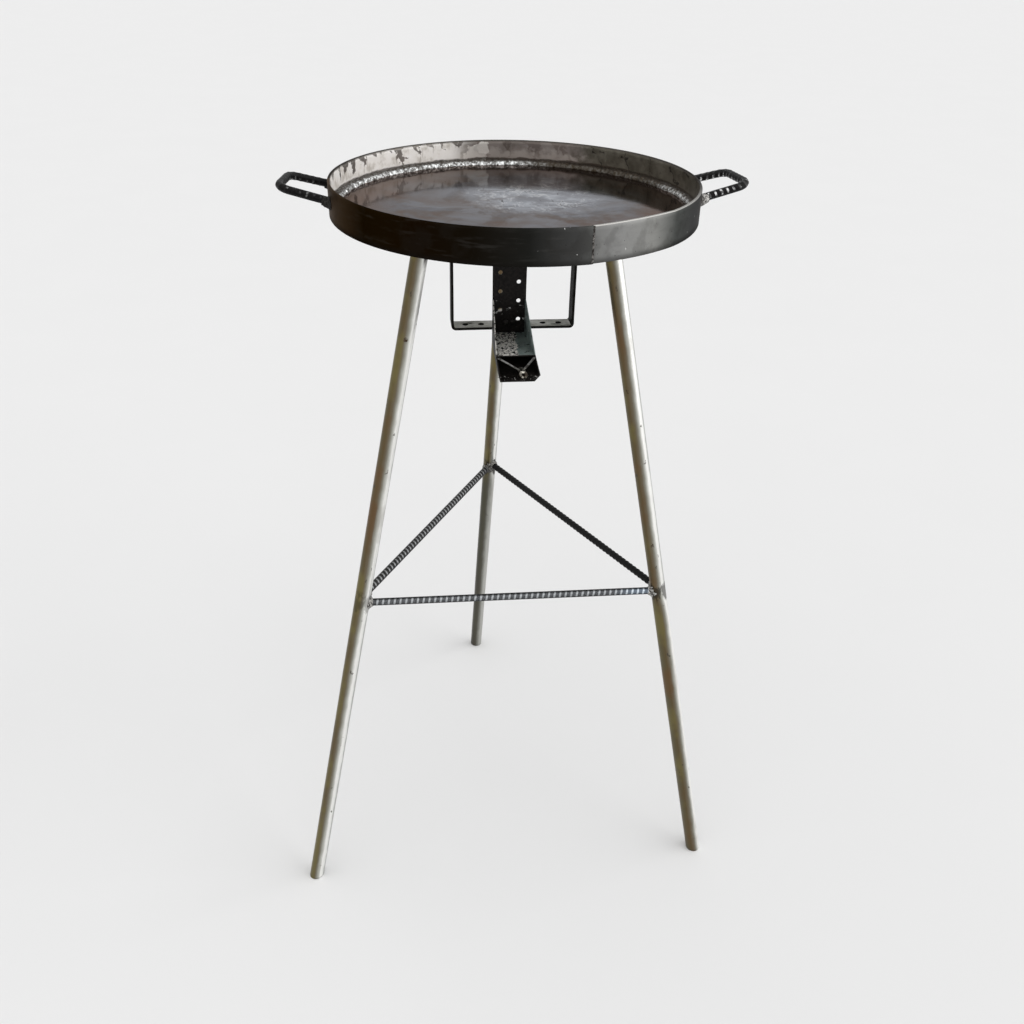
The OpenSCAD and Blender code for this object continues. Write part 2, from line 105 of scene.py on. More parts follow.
# Legs and braces: the two legs that a brace joins and its height at each, and the turn of its spines
LEG_R = 10.65 * MM
LEG_WALL = 2.6 * MM
LEGS = ("leg_front_left", "leg_front_right", "leg_back")
BRACE_SINK = 1.3 * MM
# Drops of weld: how many lie at a brace's end, and how deep in the tube their centres are
DROP_COUNT = 7
DROP_SINK = 0.8 * MM
BRACES = {
    "brace_front": ("leg_front_left", 485 * MM, "leg_front_right", 482 * MM, -30),
    "brace_left": ("leg_front_left", 495 * MM, "leg_back", 487 * MM, -53),
    "brace_right": ("leg_front_right", 486 * MM, "leg_back", 494 * MM, -47),
}

# Burner: its top and the mouth's lip. Its top is bare right of a line that leans with the length
BOX_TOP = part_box("burner_inlet_box")[1].z
LIP_Y = -95 * MM
BARE_X = -4 * MM
BARE_LEAN = 0.09
# The hand-bent mouth: how far its floor lies to the right of its top, at its left and its right end
BURNER_X = -6 * MM
MOUTH_W = 50 * MM
MOUTH_L = 79 * MM
MOUTH_LEAN = (4 * MM, 6.5 * MM)
# How much less the floor's right end runs forward
MOUTH_SKEW = 11 * MM

# Marks: the scuffed middle of the cooking face, the wall's splash, where brown and where soot with
# painted shade begin, and where the tubes darken towards their tops
SCUFF_PLACE = (30 * MM, 42 * MM, COOK_Z)
SCUFF_R = 110 * MM
SPLASH_PLACE = (-24 * MM, 224 * MM, COOK_Z + 10 * MM)
BROWN_FROM = 1.75
SOOT_FROM = 1.12
INNER_DARK_Z = 940 * MM
TOP_DARK_Z = 962 * MM
# Heat marks on the tubes at the braces' joints: leg, height and darkness
HEAT_MARKS = (
    ("leg_front_left", 488 * MM, 0.45),
    ("leg_front_right", 484 * MM, 0.75),
    ("leg_back", 488 * MM, 0.95),
)
RUST_SPOTS = (
    ((-142 * MM, -90 * MM, 856 * MM), 3.5 * MM),
    ((139 * MM, -98 * MM, 781 * MM), 3 * MM),
    ((187 * MM, -127 * MM, 560 * MM), 4 * MM),
)

# Camera, fitted to the photograph's 1024 pixel frame
IMAGE_SIDE = 1024
SENSOR = 36.0
FOCAL_PIXELS = 998.35
CAMERA_PLACE = (-153.9 * MM, -1253.6 * MM, 1315.7 * MM)
CAMERA_YAW = 7.268
CAMERA_PITCH = -31.294
CAMERA_ROLL = 1.348

# Pale surroundings, as a linear level
PALE = 0.838


# Meshes

def mesh_piece(name, points, faces, smooth=True):
    """A new mesh object from a list of points and faces."""
    mesh = bpy.data.meshes.new(name)
    mesh.from_pydata([tuple(p) for p in points], [], faces)
    mesh.validate()
    mesh.polygons.foreach_set("use_smooth", [smooth] * len(mesh.polygons))
    piece = bpy.data.objects.new(name, mesh)
    bpy.context.scene.collection.objects.link(piece)
    return piece


def grid_faces(rows, columns, closed_rows=False):
    """Quads of a grid of points that is stored row by row, each row a closed ring."""
    faces = []
    for i in range(rows if closed_rows else rows - 1):
        for j in range(columns):
            a = i * columns + j
            b = i * columns + (j + 1) % columns
            c = (i + 1) % rows * columns + (j + 1) % columns
            d = (i + 1) % rows * columns + j
            faces.append((a, b, c, d))
    return faces


def store(piece, name, values, kind="FLOAT"):
    """Keeps one value, or one vector, for each point of a piece."""
    attribute = piece.data.attributes.new(name, kind, "POINT")
    key = "value" if kind == "FLOAT" else "vector"
    attribute.data.foreach_set(key, np.asarray(values, np.float32).ravel())


def settle(piece, node, body, material, *more):
    """Gives a piece its materials and its body, and hides the CAD node that it stands for."""
    for one in (material, *more):
        piece.data.materials.append(one)
    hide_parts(node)
    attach(piece, body)
    return piece


def bump_noise(point, scale, seed):
    """Smooth noise from -1 to 1 at a point; scale is the size of a lump."""
    return noise.noise(Vector(point) / scale + Vector((seed, 2.7 * seed, -1.3 * seed)))


def copy_of(node, name):
    """A copy of a CAD node's mesh with its shared points joined."""
    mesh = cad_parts[node].data.copy()
    mesh.name = name
    mesh.materials.clear()
    shape = bmesh.new()
    shape.from_mesh(mesh)
    bmesh.ops.remove_doubles(shape, verts=shape.verts, dist=1e-6)
    shape.to_mesh(mesh)
    shape.free()
    piece = bpy.data.objects.new(name, mesh)
    bpy.context.scene.collection.objects.link(piece)
    return piece


def apply_modifiers(piece):
    """Replaces a piece's mesh by the mesh that its modifiers make."""
    evaluated = piece.evaluated_get(bpy.context.evaluated_depsgraph_get())
    mesh = bpy.data.meshes.new_from_object(evaluated)
    piece.modifiers.clear()
    piece.data = mesh


def add_blobs(piece, blobs):
    """Adds weld drops to a piece: each blob is a centre and a radius."""
    shape = bmesh.new()
    shape.from_mesh(piece.data)
    for centre, radius in blobs:
        place = Matrix.Translation(centre)
        bmesh.ops.create_icosphere(shape, subdivisions=2, radius=radius, matrix=place)
    shape.to_mesh(piece.data)
    shape.free()


def lumpy(node, name, voxel, height, lump, seed, blobs=()):
    """A weld: the CAD node's solid, with drops added, melted together and roughened."""
    piece = copy_of(node, name)
    add_blobs(piece, blobs)
    remesh = piece.modifiers.new("remesh", "REMESH")
    remesh.mode = "VOXEL"
    remesh.voxel_size = voxel
    smooth = piece.modifiers.new("smooth", "SMOOTH")
    smooth.iterations = 3
    apply_modifiers(piece)
    for vertex in piece.data.vertices:
        rough = bump_noise(vertex.co, lump, seed) + 0.5 * bump_noise(vertex.co, lump / 2.5, seed + 1)
        vertex.co += vertex.normal * height * rough
    piece.data.polygons.foreach_set("use_smooth", [True] * len(piece.data.polygons))
    return piece


def worked(node, name, edge, wave=0.0, wave_size=30 * MM, longest=0.0, seed=1.0):
    """A sheet or bar piece: the CAD node's shape with rounded edges and slightly wavy faces.

    Edges of its mesh above the longest length are divided, so that the faces can wave."""
    piece = copy_of(node, name)
    shape = bmesh.new()
    shape.from_mesh(piece.data)
    bmesh.ops.dissolve_limit(
        shape, angle_limit=math.radians(0.5), verts=shape.verts, edges=shape.edges
    )
    sharp = [e for e in shape.edges if e.is_manifold and e.calc_face_angle() > math.radians(30)]
    bmesh.ops.bevel(
        shape, geom=sharp, offset=edge, segments=2, profile=0.6, affect="EDGES", clamp_overlap=True
    )
    bmesh.ops.triangulate(shape, faces=shape.faces)
    if longest:
        for _ in range(6):
            long_edges = [e for e in shape.edges if e.calc_length() > longest]
            if not long_edges:
                break
            bmesh.ops.subdivide_edges(shape, edges=long_edges, cuts=1)
            bmesh.ops.triangulate(shape, faces=[f for f in shape.faces if len(f.verts) > 3])
    shape.to_mesh(piece.data)
    shape.free()
    if wave:
        for vertex in piece.data.vertices:
            shift = [bump_noise(vertex.co, wave_size, seed + k) for k in range(3)]
            vertex.co += wave * Vector(shift)
    piece.data.polygons.foreach_set("use_smooth", [True] * len(piece.data.polygons))
    piece.data.set_sharp_from_angle(angle=math.radians(35))
    return piece


def bend_mouth(piece):
    """Leans the burner's mouth as it was bent by hand: its floor to the right, its right end back."""
    low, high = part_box("burner_inlet_box")
    plate_y = LIP_Y + MOUTH_L
    for vertex in piece.data.vertices:
        point = vertex.co
        forward = max(0.0, (plate_y - point.y) / MOUTH_L)
        down = min(1.0, max(0.0, (high.z - point.z) / (high.z - low.z)))
        right = min(1.0, max(0.0, 0.5 + (point.x - BURNER_X) / MOUTH_W))
        point.x += forward * down * (MOUTH_LEAN[0] + right * (MOUTH_LEAN[1] - MOUTH_LEAN[0]))
        corner = max(0.0, (right - 0.82) / 0.18)
        point.y += forward ** 3 * down * corner * MOUTH_SKEW
    return piece


def weld_drops(centre, axis, towards, seed):
    """Drops of weld on a tube around the place where a bar meets it, as centres and radii."""
    draw = random.Random(seed)
    axis = Vector(axis).normalized()
    out = Vector(towards) - axis * axis.dot(Vector(towards))
    out.normalize()
    side = axis.cross(out)
    drops = []
    for _ in range(DROP_COUNT):
        a = draw.gauss(0, 0.55)
        along = draw.gauss(0, 5 * MM)
        outward = math.cos(a) * out + math.sin(a) * side
        place = Vector(centre) + axis * along + (LEG_R - DROP_SINK) * outward
        drops.append((place, draw.uniform(1.8 * MM, 3.2 * MM)))
    return drops


# Node materials. A helper that is given a socket works in that socket's tree

def add(tree, kind, inputs=None, **settings):
    """A shader node with its settings, and with each input set or linked."""
    node = tree.nodes.new("ShaderNode" + kind)
    for key, value in settings.items():
        setattr(node, key, value)
    for key, value in (inputs or {}).items():
        if isinstance(value, bpy.types.NodeSocket):
            tree.links.new(value, node.inputs[key])
        else:
            node.inputs[key].default_value = value
    return node


def math_node(operation, a, b=0.0):
    """The result of one sum on two values, at least one of them a socket."""
    tree = (a if isinstance(a, bpy.types.NodeSocket) else b).id_data
    return add(tree, "Math", {0: a, 1: b}, operation=operation).outputs[0]


def step(value, low, high):
    """A smooth rise from 0 at low to 1 at high."""
    inputs = {"Value": value, "From Min": low, "From Max": high}
    return add(value.id_data, "MapRange", inputs, interpolation_type="SMOOTHSTEP").outputs[0]


def share(value, low, high):
    """A straight rise from 0 at low to 1 at high."""
    inputs = {"Value": value, "From Min": low, "From Max": high}
    return add(value.id_data, "MapRange", inputs).outputs[0]


def grain(vector, scale, detail=4.0, roughness=0.55, distortion=0.0):
    """Noise around 0.5; scale is how many of its lumps lie along one unit of the vector."""
    inputs = {"Vector": vector, "Scale": scale, "Detail": detail}
    inputs.update({"Roughness": roughness, "Distortion": distortion})
    return add(vector.id_data, "TexNoise", inputs).outputs[0]


def stretch(vector, scale):
    """The vector with each axis scaled."""
    return add(vector.id_data, "Mapping", {"Vector": vector, "Scale": scale}).outputs[0]


def ramp(value, stops):
    """Colours along a value: each stop is a place and a colour."""
    node = add(value.id_data, "ValToRGB", {"Fac": value})
    while len(node.color_ramp.elements) < len(stops):
        node.color_ramp.elements.new(1.0)
    for element, (place, colour) in zip(node.color_ramp.elements, stops):
        element.position = place
        element.color = (*colour, 1.0)
    return node.outputs[0]


def mix(factor, a, b):
    """Colour a where the factor is 0 and colour b where it is 1."""
    values = {0: factor}
    for key, colour in ((6, a), (7, b)):
        values[key] = colour if isinstance(colour, bpy.types.NodeSocket) else (*colour, 1.0)
    return add(factor.id_data, "Mix", values, data_type="RGBA").outputs[2]


def times(a, b):
    """The product of two values."""
    return math_node("MULTIPLY", a, b)


def plus(a, b):
    """The sum of two values."""
    return math_node("ADD", a, b)


def minus(a, b):
    """The first value less the second."""
    return math_node("SUBTRACT", a, b)


def frayed(value, noise_value, amount):
    """A value moved up and down by noise, so that a border drawn from it is ragged."""
    return plus(value, times(minus(noise_value, 0.5), amount))


def paint(tint, where, colour, strength):
    """A tint with a colour laid over it, as strongly as given, where a value is 1."""
    return mix(times(where, strength), tint, colour)


def blend_values(factor, a, b):
    """Value a where the factor is 0 and value b where it is 1."""
    inputs = {"Value": factor, "To Min": a, "To Max": b}
    return add(factor.id_data, "MapRange", inputs).outputs[0]


def place_in(tree):
    """Object coordinates in metres."""
    return add(tree, "TexCoord").outputs["Object"]


def split(vector):
    """The x, y and z of a vector."""
    return add(vector.id_data, "SeparateXYZ", {0: vector}).outputs


def distance(vector, place):
    """How far a vector lies from a place."""
    inputs = {0: vector, 1: place}
    return add(vector.id_data, "VectorMath", inputs, operation="DISTANCE").outputs["Value"]


def stored(tree, name, output="Fac"):
    """A value, or a vector, that a piece keeps for each of its points."""
    return add(tree, "Attribute", attribute_name=name).outputs[output]


def surface(colour, roughness, metallic, heights, specular=0.5, glance=1.0):
    """Joins a colour and the other values to the shader of the colour's tree, and returns its material.

    heights is a list of (height socket, depth in metres); glance is how far metal brightens when
    it is seen at a flat angle."""
    tree = colour.id_data
    shader = next(n for n in tree.nodes if n.type == "BSDF_PRINCIPLED")
    tree.links.new(colour, shader.inputs["Base Color"])
    for key, value in (("Roughness", roughness), ("Metallic", metallic)):
        if isinstance(value, bpy.types.NodeSocket):
            tree.links.new(value, shader.inputs[key])
        else:
            shader.inputs[key].default_value = value
    shader.inputs["Specular IOR Level"].default_value = specular
    shader.inputs["Specular Tint"].default_value = (glance, glance, glance, 1.0)
    normal = None
    for height, depth in heights:
        bump = add(tree, "Bump", {"Height": height, "Distance": depth, "Strength": 1.0})
        if normal:
            tree.links.new(normal, bump.inputs["Normal"])
        normal = bump.outputs[0]
    if normal:
        tree.links.new(normal, shader.inputs["Normal"])
    return next(m for m in bpy.data.materials if m.node_tree == tree)


def blank(name):
    """The node tree of a new material."""
    material = bpy.data.materials.new(name)
    material.use_nodes = True
    return material.node_tree


def cooking_face():
    """Heat-tinted bare steel: brown and blue-grey clouds, pale scuffs in the middle with a painted
    sheen, a brown band near the wall that is heat tint and a painted reflection, and a gloss.

    The underside is black with soot."""
    tree = blank("cooking_face")
    vector = place_in(tree)
    z = split(vector)[2]
    clouds = grain(vector, 9.0, 5.0, 0.6, 0.6)
    tint = ramp(clouds, [
        (0.34, (0.165, 0.092, 0.062)),
        (0.46, (0.165, 0.130, 0.118)),
        (0.55, (0.195, 0.195, 0.220)),
        (0.66, (0.155, 0.120, 0.112)),
    ])
    speckle = grain(vector, 120.0, 3.0, 0.6)
    tint = paint(tint, step(speckle, 0.50, 0.75), (0.21, 0.20, 0.20), 0.5)
    from_scuffs = distance(vector, SCUFF_PLACE)
    near = step(from_scuffs, SCUFF_R, 0.25 * SCUFF_R)
    zone = times(near, step(grain(vector, 16.0, 3.0), 0.28, 0.46))
    blue = ramp(clouds, [(0.35, (0.25, 0.245, 0.26)), (0.60, (0.40, 0.42, 0.47))])
    tint = paint(tint, near, blue, 0.7)
    wide = step(from_scuffs, 2.0 * SCUFF_R, 0.9 * SCUFF_R)
    patches = step(grain(vector, 13.0, 5.0, 0.65, 0.8), 0.42, 0.56)
    tint = paint(tint, times(wide, patches), blue, 0.6)
    # Brown band towards the wall: heat tint and a painted reflection of the wall
    out = distance(vector, (0, 0, COOK_Z))
    out = frayed(out, clouds, 0.12)
    tint = paint(tint, step(out, 140 * MM, 200 * MM), (0.19, 0.108, 0.072), 0.75)
    # A painted sheen over the scuffed middle
    sheen = grain(stretch(vector, (30, 55, 30)), 1.0, 6.0, 0.7, 1.0)
    painted_sheen = times(zone, step(sheen, 0.36, 0.58))
    tint = paint(tint, painted_sheen, (0.72, 0.76, 0.83), 0.8)
    marks = grain(stretch(vector, (70, 45, 70)), 1.0, 8.0, 0.78, 1.2)
    scratches = times(zone, step(marks, 0.52, 0.60))
    tint = paint(tint, scratches, (0.95, 0.97, 1.0), 0.9)
    drips = step(grain(stretch(vector, (70, 14, 70)), 1.0, 4.0, 0.6, 2.0), 0.64, 0.68)
    tint = mix(times(near, drips), tint, (0.035, 0.030, 0.030))
    roughness = blend_values(clouds, 0.05, 0.13)
    below = step(z, COOK_Z - 1.5 * MM, COOK_Z - 2.5 * MM)
    tint = mix(below, tint, mix(clouds, (0.012, 0.010, 0.009), (0.040, 0.034, 0.030)))
    roughness = blend_values(below, roughness, 0.7)
    bare = blend_values(below, 1.0, 0.2)
    return surface(tint, roughness, bare, [(clouds, 0.12 * MM), (speckle, 0.02 * MM)], glance=0.55)


def around_pan(x, y):
    """The angle around the pan's axis: -pi to pi from +X, seen from above."""
    return math_node("ARCTAN2", y, x)


def hoop_outside():
    """Mill scale: brown-black on the left, dark grey in front, bare grey to the right of the seam, with
    painted shade on the left and painted light past the seam.
    """
    tree = blank("hoop_outside")
    vector = place_in(tree)
    x, y, z = split(vector)
    angle = around_pan(x, y)
    wobble = grain(vector, 60.0, 4.0)
    front = share(frayed(angle, wobble, 0.02), -math.pi, 0.0)
    # Colour by angle: scale and bare steel, with painted shade making the left near-black and painted
    # light on the pale band past the seam
    along = ramp(front, [
        (0.03, (0.120, 0.090, 0.068)),
        (0.10, (0.060, 0.042, 0.028)),
        (0.20, (0.012, 0.0068, 0.002)),
        (0.31, (0.0078, 0.0038, 0.0012)),
        (0.40, (0.0075, 0.0054, 0.0032)),
        (0.485, (0.0145, 0.0145, 0.013)),
        (0.555, (0.055, 0.055, 0.054)),
        (0.5795, (0.085, 0.086, 0.083)),
        (0.583, (0.18, 0.18, 0.175)),
        (0.626, (0.225, 0.225, 0.22)),
        (0.70, (0.235, 0.235, 0.224)),
        (0.755, (0.08, 0.084, 0.08)),
        (0.835, (0.065, 0.065, 0.065)),
        (1.0, (0.06, 0.055, 0.05)),
    ])
    streaks = grain(stretch(vector, (26, 26, 200)), 1.0, 5.0, 0.6)
    clouds = grain(vector, 35.0, 4.0)
    bare = step(front, 0.40, 0.56)
    along = paint(along, step(streaks, 0.52, 0.75), (0.10, 0.095, 0.09), 0.16)
    along = paint(along, step(clouds, 0.50, 0.36), (0.018, 0.016, 0.014), 0.25)
    low = times(step(z, HOOP_LOW.z + 9 * MM, HOOP_LOW.z + 1 * MM), 0.5)
    along = mix(low, along, (0.010, 0.009, 0.008))
    pits = step(grain(vector, 300.0, 2.0), 0.70, 0.76)
    along = mix(pits, along, (0.012, 0.010, 0.009))
    nicks = times(step(grain(vector, 170.0, 2.0), 0.73, 0.77), bare)
    along = mix(nicks, along, (0.45, 0.45, 0.44))
    # A painted highlight along the top edge past the seam
    edge = step(z, RIM_Z - 1.6 * MM, RIM_Z - 0.4 * MM)
    edge = times(edge, step(front, 0.5795, 0.583))
    edge = times(edge, step(front, 0.98, 0.80))
    along = paint(along, edge, (0.48, 0.47, 0.45), 0.85)
    roughness = blend_values(streaks, 0.42, 0.58)
    return surface(along, roughness, 1.0, [(streaks, 0.06 * MM), (pits, -0.1 * MM)], glance=0.4)


def hoop_inside():
    """The pan's wall: scraped pale steel with dark runs hanging from its edge, sooty and in painted
    shade on the right, with painted shade at its foot.
    """
    tree = blank("hoop_inside")
    vector = place_in(tree)
    x, y, z = split(vector)
    angle = around_pan(x, y)
    depth = share(z, RIM_Z, COOK_Z + BEAD_H)
    wobble = grain(vector, 60.0, 4.0)
    fine = grain(stretch(vector, (160, 160, 30)), 1.0, 4.0)
    slanted = plus(angle, times(depth, 0.03))
    cell = times(plus(slanted, times(wobble, 0.22)), 11.0)
    runs = add(tree, "TexVoronoi", {"W": cell, "Scale": 1.0}, voronoi_dimensions="1D")
    tooth = minus(1.0, times(runs.outputs["Distance"], 2.6))
    pick = add(tree, "SeparateColor", {0: runs.outputs["Color"]}).outputs[0]
    reach = times(tooth, plus(times(pick, 1.5), -0.1))
    reach = frayed(reach, wobble, 0.8)
    run = step(minus(reach, depth), -0.03, 0.06)
    pale = ramp(wobble, [
        (0.32, (0.60, 0.57, 0.52)),
        (0.48, (0.90, 0.88, 0.84)),
        (0.68, (0.97, 0.96, 0.94)),
    ])
    pale = paint(pale, step(fine, 0.58, 0.72), (0.28, 0.24, 0.20), 0.55)
    smoke = grain(vector, 25.0, 5.0)
    dark = ramp(smoke, [(0.3, (0.13, 0.115, 0.10)), (0.7, (0.27, 0.255, 0.24))])
    wall = mix(times(run, 0.9), pale, dark)
    behind = step(angle, BROWN_FROM + 0.14, BROWN_FROM - 0.06)
    scorch = grain(vector, 30.0, 4.0)
    brown = ramp(scorch, [(0.3, (0.14, 0.115, 0.10)), (0.7, (0.25, 0.21, 0.19))])
    low_pale = step(frayed(depth, wobble, 1.6), 0.45, 0.8)
    brown = paint(brown, low_pale, (0.50, 0.46, 0.42), 0.55)
    wall = paint(wall, behind, brown, 0.9)
    from_splash = distance(vector, SPLASH_PLACE)
    ragged = frayed(from_splash, wobble, 0.05)
    splash = step(ragged, 18 * MM, 14 * MM)
    wall = paint(wall, splash, (0.80, 0.77, 0.72), 0.9)
    # Olive on the right: soot and painted shade
    sooty = step(plus(angle, times(wobble, 0.25)), SOOT_FROM + 0.1, SOOT_FROM - 0.05)
    olive = ramp(wobble, [(0.35, (0.070, 0.064, 0.046)), (0.65, (0.145, 0.137, 0.108))])
    wall = paint(wall, sooty, olive, 0.95)
    slant = plus(times(angle, 30.0), times(depth, 2.6))
    strokes = math_node("SINE", plus(slant, times(wobble, 9.0)))
    broken = step(grain(vector, 45.0, 2.0), 0.40, 0.55)
    cracks = times(step(strokes, 0.95, 0.985), broken)
    wall = mix(times(cracks, sooty), wall, (0.016, 0.014, 0.010))
    # Painted shade in the groove at the wall's foot, by the bead
    groove_shade = step(frayed(depth, wobble, 0.25), 0.90, 0.98)
    wall = paint(wall, groove_shade, (0.05, 0.035, 0.025), 0.85)
    brim = step(z, RIM_Z - 3.2 * MM, RIM_Z - 1.4 * MM)
    wall = paint(wall, brim, (0.07, 0.058, 0.048), 0.75)
    scraped = minus(1.0, math_node("MAXIMUM", run, times(behind, 0.8)))
    roughness = blend_values(scraped, 0.30, 0.42)
    metallic = blend_values(scraped, 0.75, 0.15)
    return surface(wall, roughness, metallic, [(wobble, 0.10 * MM), (run, 0.06 * MM)])


def weld_metal(name, pale, dark, roughness):
    """Rough weld: bright tops, dark hollows and soot."""
    tree = blank(name)
    vector = place_in(tree)
    grit = grain(vector, 420.0, 4.0, 0.65)
    soot = grain(vector, 45.0, 4.0, 0.6)
    tint = mix(step(grit, 0.38, 0.62), dark, pale)
    tint = mix(step(soot, 0.52, 0.68), tint, dark)
    rough = blend_values(grit, roughness + 0.15, roughness - 0.1)
    return surface(tint, rough, 0.85, [(grit, 0.35 * MM)])


def bead_metal():
    """The pan's inner bead: silvery on the left and behind, sooty and in painted shade on the right,
    with painted shade along the wall.
    """
    tree = blank("bead_metal")
    vector = place_in(tree)
    x, y, z = split(vector)
    angle = around_pan(x, y)
    grit = grain(vector, 260.0, 4.0, 0.65)
    soot = grain(vector, 30.0, 4.0, 0.6)
    bright = ramp(grit, [
        (0.38, (0.07, 0.065, 0.06)),
        (0.50, (0.30, 0.30, 0.295)),
        (0.62, (0.80, 0.82, 0.82)),
    ])
    # Darker on the right: soot and painted shade
    right = step(plus(angle, times(soot, 0.4)), 1.72, 1.42)
    far_right = step(plus(angle, times(soot, 0.3)), 0.62, 0.4)
    dim = times(right, minus(1.0, times(far_right, 0.55)))
    tint = mix(times(dim, 0.93), bright, (0.030, 0.022, 0.013))
    tint = paint(tint, step(soot, 0.56, 0.70), (0.05, 0.042, 0.035), 0.7)
    # Painted shade along the wall, at the bead's top
    high = step(z, COOK_Z + 0.55 * BEAD_H, COOK_Z + 0.85 * BEAD_H)
    tint = paint(tint, high, (0.04, 0.030, 0.022), 0.85)
    roughness = blend_values(grit, 0.55, 0.32)
    return surface(tint, roughness, 0.9, [(grit, 0.5 * MM)])


def ribbed_metal(name, core, rib, worn, seed, bleached=1.0, flecked=0.0):
    """Ribbed bar: dark between the ribs and along its spines, bright on some of the ribs' tops as wear
    and painted glints.

    It is bleached blue-white past the given length; flecked is how far the bright tops are broken up."""
    tree = blank(name)
    bar = stored(tree, "bar", "Vector")
    height = stored(tree, "rib")
    flank = stored(tree, "flank")
    length = split(bar)[2]
    shifted = add(tree, "Mapping", {"Vector": bar, "Location": (seed, seed, seed)}).outputs[0]
    patch = grain(shifted, 28.0, 4.0, 0.6)
    grit = grain(shifted, 500.0, 3.0)
    # Bright rib tops: partly wear, partly painted glints
    rub_and_glint = times(step(height, 0.35, 0.85), step(patch, *worn))
    flecks = step(grain(shifted, 260.0, 3.0, 0.6, 0.5), 0.46, 0.60)
    rub_and_glint = times(rub_and_glint, blend_values(flecks, 1.0 - flecked, 1.0))
    tint = mix(step(grit, 0.4, 0.7), core, tuple(2.0 * c for c in core))
    tint = mix(rub_and_glint, tint, rib)
    pale = times(step(length, bleached, bleached + 40 * MM), step(patch, 0.30, 0.50))
    bleach = mix(rub_and_glint, (0.16, 0.20, 0.25), (0.66, 0.74, 0.82))
    tint = paint(tint, pale, bleach, 0.8)
    tint = paint(tint, step(flank, 0.85, 0.60), (0.012, 0.012, 0.012), 0.9)
    roughness = blend_values(rub_and_glint, 0.55, 0.40)
    return surface(tint, roughness, 0.8, [(grit, 0.12 * MM)], 0.25)


def tube_metal():
    """Galvanised tube: bright on its right as painted light, stained olive and brown and in painted
    shade on its left, with scratches, and darker towards its top.
    """
    tree = blank("tube_metal")
    vector = place_in(tree)
    x, y, z = split(vector)
    bar = stored(tree, "bar", "Vector")
    streaks = grain(stretch(bar, (160, 160, 5)), 1.0, 5.0, 0.6)
    mottles = grain(stretch(bar, (120, 120, 45)), 1.0, 4.0, 0.6)
    clouds = grain(vector, 9.0, 4.0, 0.6)
    grit = grain(bar, 350.0, 3.0)
    # Colour across the tube follows the normal's x: painted light on the right, painted shade mixed with
    # olive-brown stain on the left
    normal = add(tree, "NewGeometry").outputs["Normal"]
    side = split(normal)[0]
    ragged = frayed(side, streaks, 0.30)
    ragged = frayed(ragged, mottles, 0.30)
    right_leg = step(x, -5 * MM, 5 * MM)
    low = times(step(z, 500 * MM, 430 * MM), blend_values(right_leg, 0.14, -0.32))
    ragged = plus(ragged, plus(low, times(right_leg, 0.12)))
    across = share(ragged, -1.0, 1.0)
    tint = ramp(across, [
        (0.02, (0.115, 0.098, 0.055)),
        (0.25, (0.115, 0.085, 0.042)),
        (0.42, (0.155, 0.130, 0.090)),
        (0.53, (0.24, 0.23, 0.19)),
        (0.65, (0.48, 0.48, 0.44)),
        (0.77, (0.90, 0.90, 0.87)),
        (0.92, (0.86, 0.86, 0.83)),
        (0.98, (0.45, 0.46, 0.44)),
    ])
    rusty = times(step(clouds, 0.50, 0.66), step(across, 0.55, 0.35))
    tint = paint(tint, rusty, (0.135, 0.075, 0.035), 0.7)
    olive = times(step(clouds, 0.50, 0.38), step(across, 0.50, 0.30))
    tint = paint(tint, olive, (0.17, 0.145, 0.055), 0.7)
    worn = ramp(streaks, [(0.35, (0.20, 0.185, 0.15)), (0.65, (0.46, 0.45, 0.41))])
    scuffed = times(step(clouds, 0.54, 0.70), step(across, 0.4, 0.6))
    tint = paint(tint, scuffed, worn, 0.45)
    specks = step(grain(stretch(bar, (130, 130, 70)), 1.0, 3.0), 0.67, 0.72)
    tint = paint(tint, specks, (0.06, 0.052, 0.042), 0.85)
    low_back = times(step(y, 60 * MM, 90 * MM), step(z, 520 * MM, 440 * MM))
    grey = ramp(across, [
        (0.15, (0.042, 0.043, 0.034)),
        (0.50, (0.085, 0.083, 0.068)),
        (0.80, (0.36, 0.36, 0.33)),
    ])
    tint = paint(tint, low_back, grey, 0.85)
    inner = add(tree, "VectorMath", {0: normal, 1: vector}, operation="DOT_PRODUCT").outputs["Value"]
    inner = step(inner, 0.05, -0.05)
    # Darker towards the top: on the inner side from one height, all round from a higher one
    inner_top_dark = frayed(z, clouds, 0.06)
    inner_top_dark = times(step(inner_top_dark, INNER_DARK_Z, INNER_DARK_Z + 10 * MM), inner)
    tint = mix(inner_top_dark, tint, (0.012, 0.010, 0.008))
    top_dark = frayed(z, mottles, 0.03)
    top_dark = times(step(top_dark, TOP_DARK_Z, TOP_DARK_Z + 6 * MM), 0.9)
    tint = mix(top_dark, tint, (0.02, 0.017, 0.013))
    for leg, height, dark in HEAT_MARKS:
        away = distance(vector, leg_at(leg, height))
        away = frayed(away, mottles, 0.05)
        mark = step(away, 19 * MM, 13 * MM)
        tint = paint(tint, mark, (0.022, 0.019, 0.015), dark)
    for place, radius in RUST_SPOTS:
        away = distance(vector, place)
        away = frayed(away, grit, 0.01)
        tint = mix(step(away, radius, 0.5 * radius), tint, (0.055, 0.036, 0.024))
    roughness = blend_values(streaks, 0.42, 0.28)
    return surface(tint, roughness, 0.8, [(streaks, 0.06 * MM), (grit, 0.04 * MM)], 0.3)


